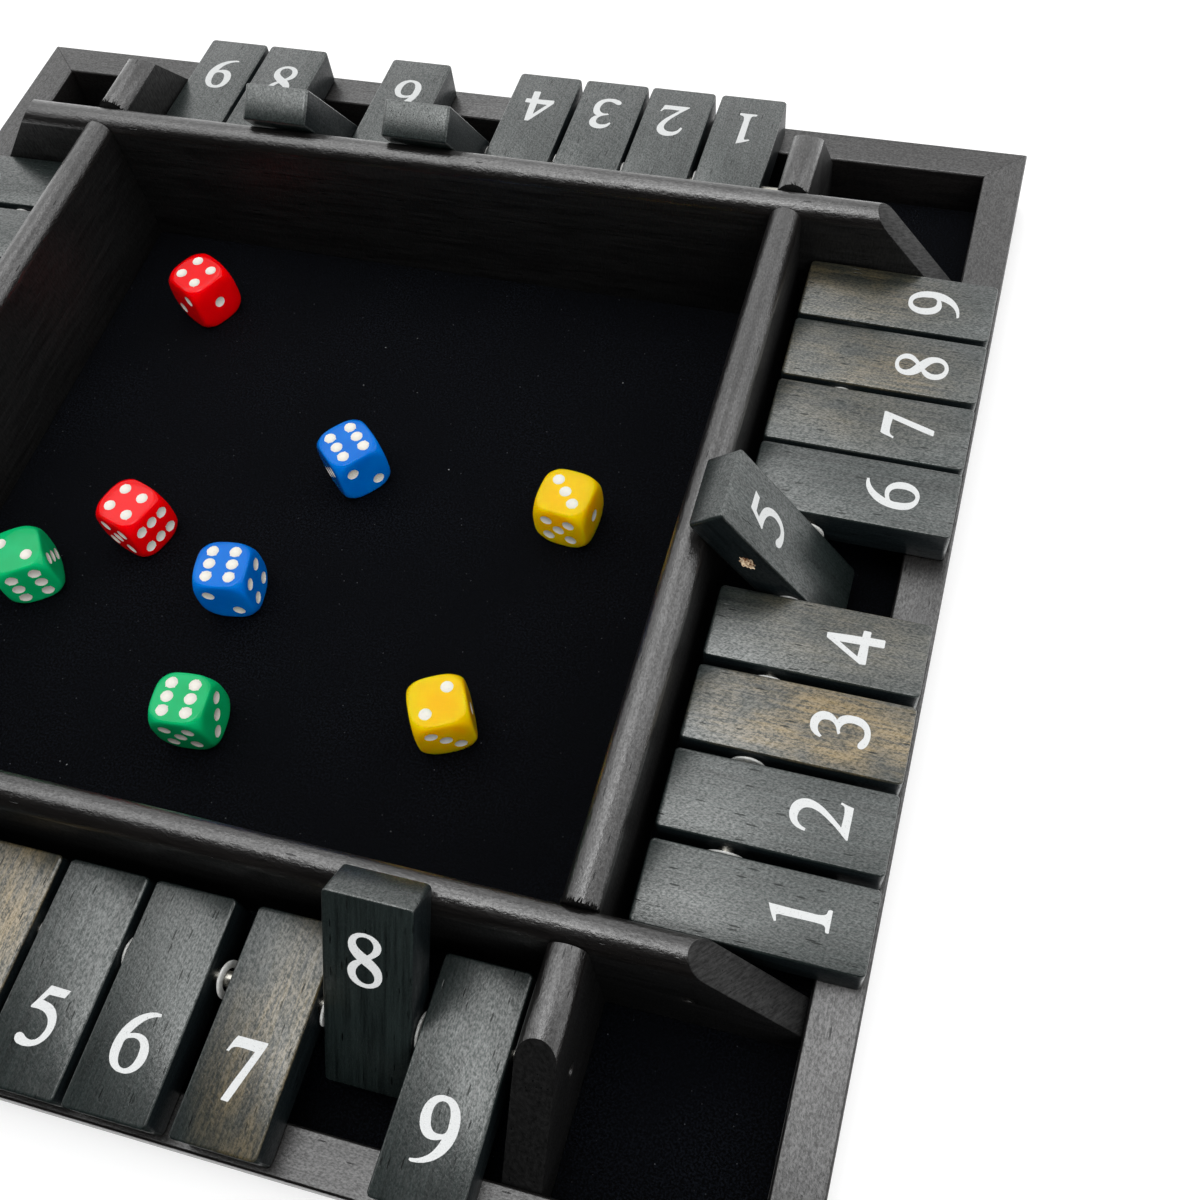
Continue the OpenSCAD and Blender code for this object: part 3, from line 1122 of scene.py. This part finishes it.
# Old-style serif figures in millimetres above the baseline. Each point is x, y and, at a
# corner, 1. The first ring is the outline and the others are its holes.
FIGURES: dict[int, list[list[Point]]] = {
    1: [[(1.33, 14.6, 1), (1.23, 10.7), (1.2, 5.7), (1.3, 2.3), (1.75, 1.35), (2.75, 1),
         (2.97, 0.6, 1), (2.85, 0.05, 1), (-2.55, 0, 1), (-2.7, 0.35, 1), (-2.5, 0.8), (-1.5, 1),
         (-1, 1.5), (-0.85, 2.5), (-0.8, 5.7), (-0.85, 10.7), (-0.85, 11.9), (-1.1, 12.45, 1),
         (-2.5, 12.1, 1), (-2.75, 12.55, 1), (-1.7, 13.2), (0, 14.05)]],
    2: [[(-3.77, 0, 1), (4.67, 0.05, 1), (5, 1.55), (5.5, 3.1, 1), (5, 3.25, 1), (4.6, 2.45),
         (3.9, 2.13), (-0.85, 2.03, 1), (0.33, 3.4), (2, 5.4), (3.6, 7.73), (4.43, 9.9),
         (4.53, 11.4), (4, 12.9), (2.83, 14.1), (1.17, 14.63), (-0.3, 14.55), (-1.8, 13.9),
         (-2.9, 12.7), (-3.5, 11.3), (-3.72, 10.2, 1), (-3, 10.1, 1), (-2.67, 11), (-2, 11.9),
         (-1, 12.45), (0.1, 12.53), (1.2, 12.2), (2.07, 11.4), (2.4, 10.2), (2.17, 8.73),
         (1.33, 6.9), (0, 4.9), (-1.67, 2.73), (-3.17, 1.07), (-3.77, 0.35, 1)]],
    3: [[(-2.35, 11.45, 1), (-2.8, 11.9, 1), (-2.5, 12.8), (-1.83, 13.8), (-0.83, 14.55),
         (0.6, 14.9), (2.1, 14.75), (3.4, 14), (4.2, 12.9), (4.43, 11.6), (4.17, 10.3),
         (3.5, 9.3), (2.75, 8.7, 1), (3.75, 8.1), (4.5, 6.8), (4.73, 4.93), (4.5, 3.1),
         (3.67, 1.6), (2.17, 0.5), (0.33, 0), (-1.5, 0.1), (-3, 0.65), (-3.7, 1.5), (-3.6, 2.3),
         (-3, 2.6), (-2.2, 2.45), (-1.33, 1.93), (-0.33, 1.53), (0.83, 1.6), (1.83, 2.2),
         (2.43, 3.4), (2.67, 4.93), (2.33, 6.25), (1.5, 7.15), (0.4, 7.5), (-0.6, 7.25, 1),
         (-1.1, 7.77, 1), (-0.5, 8.1), (0.5, 8.45), (1.5, 9.1), (2.17, 10.1), (2.27, 11.1),
         (2, 12.1), (1.2, 12.7), (0.17, 12.87), (-0.8, 12.7), (-1.65, 12.2)]],
    4: [[(1.27, 14.6, 1), (2.72, 14.67, 1), (2.95, 11.5), (3.15, 8.2), (3.23, 5.93, 1),
         (5, 5.85, 1), (5.2, 5.5, 1), (5.13, 4.1, 1), (4.9, 3.9, 1), (3.43, 3.9, 1),
         (3.52, 0.3, 1), (3.3, 0.03, 1), (1.4, 0, 1), (1.17, 0.25, 1), (1.07, 3.85, 1),
         (-4.4, 3.67, 1), (-4.6, 3.95, 1), (-4.67, 5.2, 1)],
        [(0.73, 11.2, 1), (-2.6, 6.1, 1), (0.9, 6, 1)]],
    5: [[(-1.27, 14.47, 1), (3.93, 14.33, 1), (3.6, 13.4), (3.15, 12.4, 1), (-0.83, 12.3, 1),
         (-1.73, 10.83, 1), (-0.33, 10.6), (1.33, 10.05), (2.67, 8.9), (3.5, 7.25), (3.73, 5.55),
         (3.33, 3.4), (2.33, 1.75), (0.83, 0.55), (-1, 0), (-2.67, 0), (-4, 0.45), (-4.57, 1.4),
         (-4.4, 2.2), (-3.67, 2.63), (-2.83, 2.5), (-2, 2), (-1, 1.65), (0.05, 1.75), (1, 2.4),
         (1.67, 3.73), (1.93, 5.2), (1.5, 6.73), (0.5, 7.85), (-0.83, 8.45), (-2.33, 8.63),
         (-3.9, 8.57, 1), (-4, 8.95, 1), (-3.33, 10.23), (-2.17, 12.57)]],
    6: [[(4, 14.63, 1), (4.15, 14, 1), (2.95, 13.67), (1.5, 12.93), (0.05, 11.5), (-1.1, 9.7),
         (-1.6, 8.75, 1), (-0.2, 9.15), (1.2, 9.2), (2.8, 8.6), (4, 7.2), (4.6, 5.2), (4.33, 3),
         (3.2, 1.2), (1.6, 0.2), (0, 0), (-1.75, 0.35), (-3.35, 1.5), (-4.25, 3.3), (-4.5, 5.5),
         (-4.15, 8), (-3.15, 10.5), (-1.5, 12.6), (0.6, 14.05), (2.33, 14.6)],
        [(-1.95, 7.2), (-2.17, 5.3), (-2, 3.35), (-1.33, 1.85), (-0.33, 1.15), (0.7, 1.17),
         (1.67, 2), (2.25, 3.5), (2.33, 5.3), (2, 6.8), (1.2, 7.7), (0.17, 8), (-1, 7.8)]],
    7: [[(-3.6, 14.27, 1), (3.85, 14.33, 1), (3.93, 13.9, 1), (3, 10.67), (1.67, 6.33), (0.67, 3),
         (-0.2, 0.15, 1), (-0.45, 0, 1), (-2, 0.05, 1), (-2.07, 0.33, 1), (-1, 4), (0.33, 8),
         (1.57, 11.77, 1), (-1.9, 11.9), (-3.3, 11.73), (-4, 11.27), (-4.4, 10.5, 1),
         (-5.07, 10.53, 1), (-4.85, 11.1), (-4, 13.5)]],
    8: [[(0, 14.85), (1.67, 14.4), (3, 13.25), (3.5, 11.8), (3.07, 10.2), (2.05, 9.05),
         (1.1, 8.25, 1), (2.33, 7.15), (3.33, 5.85), (3.73, 4.2), (3.5, 2.45), (2.5, 1),
         (0.83, 0.1), (-1, -0.05), (-2.67, 0.5), (-4, 1.8), (-4.53, 3.6), (-4.27, 5.2),
         (-3.33, 6.5), (-2.23, 7.25, 1), (-3.33, 8.4), (-4.13, 9.85), (-4.33, 11.5),
         (-3.83, 13.1), (-2.6, 14.3), (-1.2, 14.8)],
        [(-0.4, 13.8), (0.67, 13.55), (1.5, 12.6), (1.67, 11.5), (1.17, 10.15), (0.17, 9.05, 1),
         (-1, 9.8), (-2.1, 10.85), (-2.5, 11.95), (-2.1, 13.1), (-1.33, 13.65)],
        [(-1.17, 6.5, 1), (0, 5.75), (1.33, 4.6), (1.9, 3.25), (1.6, 1.95), (0.67, 1.25),
         (-0.5, 1.1), (-1.67, 1.65), (-2.4, 2.75), (-2.57, 4.05), (-2.15, 5.2)]],
    9: [[(0, 15), (1.6, 14.7), (3.17, 13.4), (4.2, 11.57), (4.67, 9.07), (4.5, 6.4), (3.67, 4.2),
         (2.17, 2.2), (0.33, 0.9), (-1.67, 0.2), (-3.5, 0, 1), (-3.95, 0.2, 1), (-4, 0.67, 1),
         (-2.67, 0.9), (-1.17, 1.57), (0.3, 2.9), (1.15, 4.4), (1.67, 6, 1), (0.4, 5.55),
         (-0.85, 5.4), (-2.2, 5.75), (-3.5, 6.9), (-4.33, 8.73), (-4.5, 10.73), (-4, 12.7),
         (-2.85, 14.2), (-1.4, 14.9)],
        [(0, 13.73), (1, 13.2), (1.83, 11.73), (2.2, 9.7), (2.15, 7.8), (1.6, 7.15), (0.67, 6.97),
         (-0.4, 7.1), (-1.35, 7.9), (-2, 9.57), (-2.17, 11.4), (-1.7, 13), (-0.95, 13.6)]],
}


@dataclass
class Figures:
    """The white figures, pad-printed near the outer end of both faces of a tile."""

    film: float = 0.03 * MM
    top_base: float = 27.2 * MM
    back_base: float = 13.3 * MM

    def plate(self, value: int) -> Piece:
        """Draws one figure as a thin film in the XY plane, its base on the X axis.

        Args:
            value: the number, from 1 to 9.

        Returns:
            The film, as a mesh.
        """
        curve = bpy.data.curves.new(f"figure_{value}", "CURVE")
        curve.dimensions = "2D"
        curve.fill_mode = "BOTH"
        curve.resolution_u = 5
        curve.extrude = self.film / 2
        for ring in FIGURES[value]:
            spline = curve.splines.new("BEZIER")
            spline.bezier_points.add(len(ring) - 1)
            spline.use_cyclic_u = True
            for point, (x, y, *corner) in zip(spline.bezier_points, ring):
                point.co = (x * MM, y * MM, 0)
                point.handle_left_type = "VECTOR" if corner else "AUTO"
                point.handle_right_type = point.handle_left_type
        film = bpy.data.objects.new(f"figure_{value}", curve)
        bpy.context.collection.objects.link(film)
        make_active(film)
        bpy.ops.object.convert(target="MESH")
        return bpy.context.object


# ------------------------------------------------------------------ tiles


@dataclass(frozen=True)
class TileLook:
    """How one tile differs from its neighbours: a spot of thin stain, and a shifted figure."""

    spot: Triple = (0.0, 0.0, 0.0)
    shift: Pair = (0.0, 0.0)


@dataclass
class TileRow:
    """The nine tiles of one side, each turning on the rod."""

    length: float = 54.9 * MM
    width: float = 21.4 * MM
    height: float = 10.6 * MM
    inner: float = 17.7 * MM
    corner: float = 1.3 * MM
    arris: float = 0.42 * MM
    arris_profile: float = 0.36
    edge_steepness: float = 0.9
    bore_r: float = 2.08 * MM
    rest_turn: float = math.radians(1.234156)
    lean_turn: float = math.radians(-126.417264)
    flipped: frozenset[str] = frozenset(
        ("tile_east_5", "tile_north_5", "tile_north_7", "tile_south_8")
    )
    looks: dict[str, TileLook] = field(default_factory=lambda: {
        "tile_east_1": TileLook(shift=(0.1, 0.1)),
        "tile_east_3": TileLook((0.017, 0.0, 1.0), (0.0, 0.3)),
        "tile_east_4": TileLook((0.016, 0.004, 0.16), (0.0, -0.8)),
        "tile_east_5": TileLook((0.0, 0.0, 0.3), (0.0, 0.4)),
        "tile_east_6": TileLook(shift=(0.0, 0.1)),
        "tile_east_7": TileLook((0.0, 0.003, 0.15), (1.1, 0.4)),
        "tile_east_8": TileLook((0.004, -0.004, 0.35), (0.0, 0.7)),
        "tile_east_9": TileLook((-0.002, 0.0, 0.25), (0.4, 0.6)),
        "tile_north_1": TileLook(shift=(0.0, 1.9)),
        "tile_north_2": TileLook(shift=(0.0, 1.8)),
        "tile_north_3": TileLook(shift=(0.0, 1.8)),
        "tile_north_4": TileLook(shift=(0.0, 1.4)),
        "tile_south_4": TileLook((0.008, 0.002, 0.8)),
        "tile_south_5": TileLook(shift=(0.0, -0.2)),
        "tile_south_6": TileLook(shift=(0.0, -0.3)),
        "tile_south_7": TileLook((0.014, 0.006, 0.45), (0.0, -0.6)),
        "tile_south_8": TileLook(shift=(0.0, -0.2)),
        "tile_south_9": TileLook(shift=(0.0, 0.8)),
    })
    holed: str = "tile_east_5"
    hole_at: float = 18.8 * MM
    hole_reach: Triple = (2.5 * MM, 1.9 * MM, 1.85 * MM)
    hole_tear: float = 0.22
    figures: Figures = field(default_factory=Figures)
    raw: RawBeech = RawBeech()
    wood: LacqueredWood = LacqueredWood(
        "blue_black_stained_tile", "0C1212", "202928", hatch=0.22, sheen_roughness=0.32,
        pore_share=0.8, sheen_tint="F8FFFB", dull=0.15, build_up=1.0,
    )
    # Painted shade: the long sides, which face the narrow gaps between tiles, take a darker and
    # duller copy of the tile lacquer.
    edge_wood: LacqueredWood = LacqueredWood(
        "lacquer_soaked_tile_edge", "090E10", "161D1F", hatch=0.2, sheen_roughness=0.4,
        build_up=0.36, base_sheen=0.2,
    )
    ink: Paint = Paint("pad_printed_white_ink", "D8DADA", "7E8282", 0.35, 0.5)
    rng: random.Random = field(default_factory=lambda: random.Random(36))

    def build(self) -> None:
        """Builds the tiles of all four sides."""
        wood, ink = self.wood.make(), self.ink.make()
        block = self.block(wood, self.edge_wood.make())
        plates = {value: self.figures.plate(value) for value in FIGURES}
        for side in Side:
            for number, plate in plates.items():
                self.tile(side, number, block, plate, ink)
        discard([block, *plates.values()])

    def block(self, *materials: Material) -> Piece:
        """Models the tile block: rounded upright corners, eased faces, a cross bore.

        Args:
            materials: the lacquer of the faces, and a darker, duller copy of it for the long
                edges, painted shade.

        Returns:
            The block, with its bore along Y through the origin.
        """
        low = (-self.inner, -self.width / 2, -self.height / 2)
        high = (self.length - self.inner, self.width / 2, self.height / 2)
        block = new_block(low, high)

        def upright(edge: bmesh.types.BMEdge) -> bool:
            """Tells whether an edge runs from the bottom face to the top one."""
            return abs(edge.verts[0].co.z - edge.verts[1].co.z) > self.height / 2

        edit_parts(block, "EDGE", upright)
        bpy.ops.mesh.bevel(offset=self.corner, segments=6, affect="EDGES")
        leave_edit()
        edit_parts(block, "EDGE", lambda edge: not upright(edge))
        bpy.ops.mesh.bevel(
            offset=self.arris, segments=3, profile=self.arris_profile, affect="EDGES"
        )
        leave_edit()
        drill = primitive(
            bpy.ops.mesh.primitive_cylinder_add, vertices=40, radius=self.bore_r,
            depth=2 * self.width, rotation=(math.radians(90), 0, 0),
        )
        cut_away(block, drill)
        smooth(block, 35)
        dress(block, *materials)
        # The long sides take the darker, duller lacquer, which paints the shade of the gaps
        # between tiles.
        for face in block.data.polygons:
            face.material_index = int(abs(face.normal.y) > self.edge_steepness)
        return block

    def drill_stray_hole(self, block: Piece) -> None:
        """Breaks a shallow, ragged hole into the side of a tile's block.

        Args:
            block: the block, still in its own space.
        """
        burr = primitive(bpy.ops.mesh.primitive_ico_sphere_add, subdivisions=4, radius=1.0)
        burr.location = (self.hole_at, -self.width / 2, 0.0)
        along, deep, through = self.hole_reach
        for vertex in burr.data.vertices:
            x, y, z = vertex.co
            torn = 1 + self.hole_tear * math.sin(7 * x + 3 * z) * math.sin(9 * z + 2 * y)
            vertex.co = (along * x * torn, deep * y, through * z * torn)
        dress(burr, self.raw.make())
        cut_away(block, burr, material_mode="TRANSFER")

    def tile(
        self,
        side: Side,
        number: int,
        block: Piece,
        plate: Piece,
        ink: Material,
    ) -> None:
        """Copies the block and prints its figure on both faces.

        Args:
            side: the side of the tray.
            number: the tile's number.
            block: the tile block to copy.
            plate: the figure to copy.
            ink: the figure's ink.
        """
        name = f"tile_{side.label}_{number}"
        joint = next(j for j in frame["joints"] if j["child"] == name)
        angle = self.lean_turn if name in self.flipped else self.rest_turn
        place = (
            Matrix.Translation(joint["pos_m"]) @ side.turn @ Matrix.Rotation(angle, 4, "Y")
        )
        look = self.looks.get(name, TileLook())
        piece = copy_piece(block, f"{name}_block", Matrix.Identity(4))
        if name == self.holed:
            self.drill_stray_hole(piece)
        seed = [self.rng.uniform(-9, 9) for _ in range(3)]
        lay_grain(piece, Matrix.Identity(4), seed, look.spot)
        piece.data.transform(place)
        seat(piece, name, nodes=[name])
        across, down = (shift * MM for shift in look.shift)
        back_down = down if name in self.flipped else 0.0
        skin = self.height / 2 + self.figures.film / 2
        faces = (
            (-1, self.figures.top_base + down, across, skin),
            (1, self.figures.back_base + back_down, 0, -skin),
        )
        prints = []
        for handed, base, middle, height in faces:
            lie = Matrix((
                (0, handed, 0, base), (1, 0, 0, middle), (0, 0, -handed, height), (0, 0, 0, 1)
            ))
            prints.append(copy_piece(plate, f"{name}_{len(prints)}", place @ lie))
        film = join_pieces(prints, f"figure_{side.label}_{number}")
        seat(film, name, ink)


# ------------------------------------------------------------------ dice


@dataclass(frozen=True)
class DiePlace:
    """One die: its node, plastic, turn about Z and the quarter turns before it."""

    node: str
    plastic: str
    turn: float
    quarters: tuple[int, int, int]


@dataclass
class Dice:
    """Eight loose dice, tumbled round at the corners, with dimpled white pips."""

    width: float = 16.0 * MM
    edge_power: float = 24.0
    ball_width: float = 23.2 * MM
    blend_power: float = 24.0
    cuts: int = 39
    pip_at: float = 3.4 * MM
    six_at: float = 4.24 * MM
    pip_r: float = 1.75 * MM
    pip_depth: float = 0.5 * MM
    pip_slack: float = 0.01 * MM
    places: tuple[DiePlace, ...] = (
        DiePlace("die_red_1", "red", -28, (90, 0, 0)),
        DiePlace("die_red_2", "red", -18.4, (90, 0, 180)),
        DiePlace("die_yellow_1", "yellow", -5.5, (90, 180, 180)),
        DiePlace("die_yellow_2", "yellow", 26.9, (0, 0, 0)),
        DiePlace("die_blue_1", "blue", -41.5, (0, 90, 0)),
        DiePlace("die_blue_2", "blue", 9.2, (0, 90, -90)),
        DiePlace("die_green_1", "green", 35.2, (0, 0, 90)),
        DiePlace("die_green_2", "green", 5.8, (0, 90, 90)),
    )
    plastics: tuple[DicePlastic, ...] = (
        DicePlastic("red_acrylic", "F6000C", "EE0009", 0.9, 0.25),
        DicePlastic("yellow_acrylic", "FFC800", "FCBE00", 1.0, 0.12),
        DicePlastic("blue_acrylic", "0072D4", "006ACC", 0.15, 0.15),
        DicePlastic("green_acrylic", "08B870", "06AE66", 0.1, 0.2),
    )
    pip_paint: Paint = Paint("brushed_in_pip_paint", "E2DFD6", "CAC7BE", 0.8, 0.45)

    @property
    def ball_r(self) -> float:
        """The radius of the ball that presses a dimple of the wanted width and depth."""
        return (self.pip_r**2 + self.pip_depth**2) / (2 * self.pip_depth)

    def build(self) -> None:
        """Builds the dice and lays them on the felt."""
        master = self.master(self.pip_paint.make())
        plastics = {p.name.split("_")[0]: p.make() for p in self.plastics}
        for spec in self.places:
            low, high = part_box(spec.node)
            middle = Matrix.Translation((low + high) / 2)
            place = middle @ turned(spec.turn, "Z") @ self.quarter_turns(spec.quarters)
            piece = copy_piece(master, f"{spec.node}_cube", place)
            piece.data.materials[0] = plastics[spec.plastic]
            seat(piece, spec.node, nodes=[spec.node])
        discard([master])

    @staticmethod
    def quarter_turns(degrees: Sequence[float]) -> Matrix:
        """Gives turns about X, then Y, then Z."""
        return Euler([math.radians(angle) for angle in degrees]).to_matrix().to_4x4()

    def master(self, pip_paint: Material) -> Piece:
        """Models one die at the origin: a cube turned down by a ball, with 21 dimples.

        Args:
            pip_paint: the dimples' paint.

        Returns:
            The die, whose first material slot is its plastic's.
        """
        half = self.width / 2
        cube = new_block((-half,) * 3, (half,) * 3)
        edit_parts(cube, "FACE", lambda face: True)
        bpy.ops.mesh.subdivide(number_cuts=self.cuts)
        leave_edit()
        for vertex in cube.data.vertices:
            way = vertex.co.normalized()
            powers = sum(abs(c) ** self.edge_power for c in way)
            to_cube = powers ** (1 / self.edge_power) / half
            inverse = to_cube**self.blend_power + (2 / self.ball_width) ** self.blend_power
            vertex.co = way * inverse ** (-1 / self.blend_power)
        presses = self.presses(cube)
        balls = []
        for middle, normal in presses:
            bpy.ops.mesh.primitive_uv_sphere_add(
                segments=48, ring_count=32, radius=self.ball_r, location=middle,
                rotation=normal.to_track_quat("Z", "Y").to_euler(),
            )
            balls.append(bpy.context.object)
        joined = join_pieces(balls, "pip_balls")
        bpy.ops.object.transform_apply(location=True, rotation=True, scale=True)
        cut_away(cube, joined)
        dress(cube, pip_paint, pip_paint)
        for face in cube.data.polygons:
            gaps = (abs((face.center - middle).length - self.ball_r) for middle, _ in presses)
            face.material_index = int(min(gaps) < self.pip_slack)
        smooth(cube, 30)
        apply_modifier(cube, "WEIGHTED_NORMAL", keep_sharp=True, weight=80)
        return cube

    def presses(self, cube: Piece) -> list[tuple[Vector, Vector]]:
        """Finds where balls press the dimples, each to the same depth in the skin.

        Args:
            cube: the rounded cube.

        Returns:
            Each ball's middle, with the skin's outward direction.
        """
        a, s = self.pip_at, self.six_at
        two = [(a, a), (-a, -a)]
        four = two + [(a, -a), (-a, a)]
        layout = {
            2: ((0, 0, 0), 0, two),
            5: ((180, 0, 0), 0, four + [(0, 0)]),
            3: ((90, 0, 0), 90, two + [(0, 0)]),
            4: ((-90, 0, 0), 0, four),
            1: ((0, 90, 0), 0, [(0, 0)]),
            6: ((0, -90, 0), 90, [(x, y) for x in (-a, a) for y in (-s, 0, s)]),
        }
        presses = []
        for quarters, twist, spots in layout.values():
            face = self.quarter_turns(quarters) @ turned(twist, "Z")
            out = face @ Vector((0, 0, 1))
            for x, y in spots:
                centre = face @ Vector((x, y, self.width / 2))
                _, skin, normal, _ = cube.ray_cast(centre + out * self.width, -out)
                presses.append((skin + normal * (self.ball_r - self.pip_depth), normal))
        return presses


# ------------------------------------------------------------------ stage


@dataclass(frozen=True)
class SoftLight:
    """A square soft light that hangs some way off in one direction, facing the tray.

    One that doesn't shine lights the tray but isn't mirrored in it.
    """

    name: str
    way: Triple
    gap: float
    size: float
    power: float
    shines: bool = True

    def hang(self) -> None:
        """Adds the light."""
        way = Vector(self.way).normalized()
        panel = bpy.data.lights.new(self.name, "AREA")
        panel.shape = "SQUARE"
        panel.size = self.size
        panel.energy = self.power
        light = bpy.data.objects.new(self.name, panel)
        light.location = way * self.gap
        light.rotation_euler = way.to_track_quat("Z", "Y").to_euler()
        light.visible_glossy = self.shines
        bpy.context.collection.objects.link(light)


@dataclass
class Studio:
    """The camera, four soft lights, a white floor, a black card and a dim surround."""

    eye: Triple = (0.164338, -0.186855, 0.309459)
    turn: Triple = (2.669, 0.336, -0.196)
    focal_px: float = 1261.853
    centre_px: Pair = (611.0, 739.04)
    picture_px: float = 1200.0
    sensor_mm: float = 36.0
    lights: tuple[SoftLight, ...] = (
        SoftLight("key", (-0.26, 0.19, 0.95), 1.2, 1.26, 6.6),
        SoftLight("ceiling", (0.02, -0.16, 0.99), 1.5, 0.68, 3.9),
        SoftLight("fill", (0.66, 0.42, 0.62), 1.2, 0.8, 2.0),
        SoftLight("front", (0.55, -0.62, 0.56), 1.4, 0.8, 7.5, shines=False),
    )
    floor_size: float = 8.0
    glow_reach: Pair = (0.5, 2.0)
    glow: Pair = (0.35, 0.75)
    card_y: float = -0.185
    card_size: Pair = (1.8, 0.5)
    ambient: float = 0.4

    def build(self) -> None:
        """Sets up the whole stage."""
        self.camera()
        self.floor()
        for light in self.lights:
            light.hang()
        self.dark_card()
        self.surround()
        bpy.context.scene.view_settings.view_transform = "Standard"

    def camera(self) -> None:
        """Places the camera from its fitted pose: x right, y down, z forward."""
        lens = bpy.data.cameras.new("camera")
        lens.sensor_width = self.sensor_mm
        lens.lens = self.focal_px / self.picture_px * self.sensor_mm
        lens.shift_x = (self.picture_px / 2 - self.centre_px[0]) / self.picture_px
        lens.shift_y = (self.centre_px[1] - self.picture_px / 2) / self.picture_px
        lens.clip_start = 0.01
        turn = Vector(self.turn)
        right, down, ahead = Matrix.Rotation(turn.length, 3, turn.normalized())
        pose = Matrix((right, -down, -ahead)).transposed().to_4x4()
        pose.translation = Vector(self.eye)
        camera = bpy.data.objects.new("camera", lens)
        camera.matrix_world = pose
        bpy.context.collection.objects.link(camera)
        bpy.context.scene.camera = camera

    def floor(self) -> None:
        """Lays a floor that shows as white, also far from the lamps, and keeps the shadow."""
        floor = primitive(bpy.ops.mesh.primitive_plane_add, size=self.floor_size)
        floor.name = "floor"
        wiring = Finish("white_table")
        reach = wiring.vector("LENGTH", wiring.object_space())
        white = wiring.reshape(reach, *self.glow_reach, *self.glow)
        dress(floor, wiring.shade({
            "Base Color": srgb("E6E6E6"),
            "Roughness": 0.9,
            "Specular IOR Level": 0.0,
            "Emission Color": (1, 1, 1, 1),
            "Emission Strength": wiring.calculate("MULTIPLY", wiring.seen_rays(), white),
        }))

    def dark_card(self) -> None:
        """Stands a black card south of the tray, which only reflections see."""
        width, height = self.card_size
        card = primitive(
            bpy.ops.mesh.primitive_plane_add, (width, height, 1), size=1.0,
            location=(0, self.card_y, height / 2), rotation=(math.radians(90), 0, 0),
        )
        card.name = "dark_card"
        card.visible_camera = card.visible_diffuse = card.visible_shadow = False
        black = {"Base Color": srgb("0A0A0A"), "Roughness": 1.0, "Specular IOR Level": 0.0}
        dress(card, Finish("black_card").shade(black))

    def surround(self) -> None:
        """Gives a dim even surround that the camera sees as white."""
        world = bpy.data.worlds.new("surround")
        bpy.context.scene.world = world
        world.use_nodes = True
        wiring = Wiring(world.node_tree)
        light = wiring.reshape(wiring.seen_rays(), 0.0, 1.0, self.ambient, 1.0)
        back = wiring.tree.nodes["Background"]
        wiring.feed(back, {"Color": (1, 1, 1, 1), "Strength": light})


def main() -> None:
    """Builds the game from its sub-assemblies."""
    logging.basicConfig(level=logging.INFO, format="%(name)s: %(message)s")
    Studio().build()
    Case().build()
    FeltLining().build()
    Running().build()
    TileRow().build()
    Dice().build()


if __name__ == "__main__":
    main()
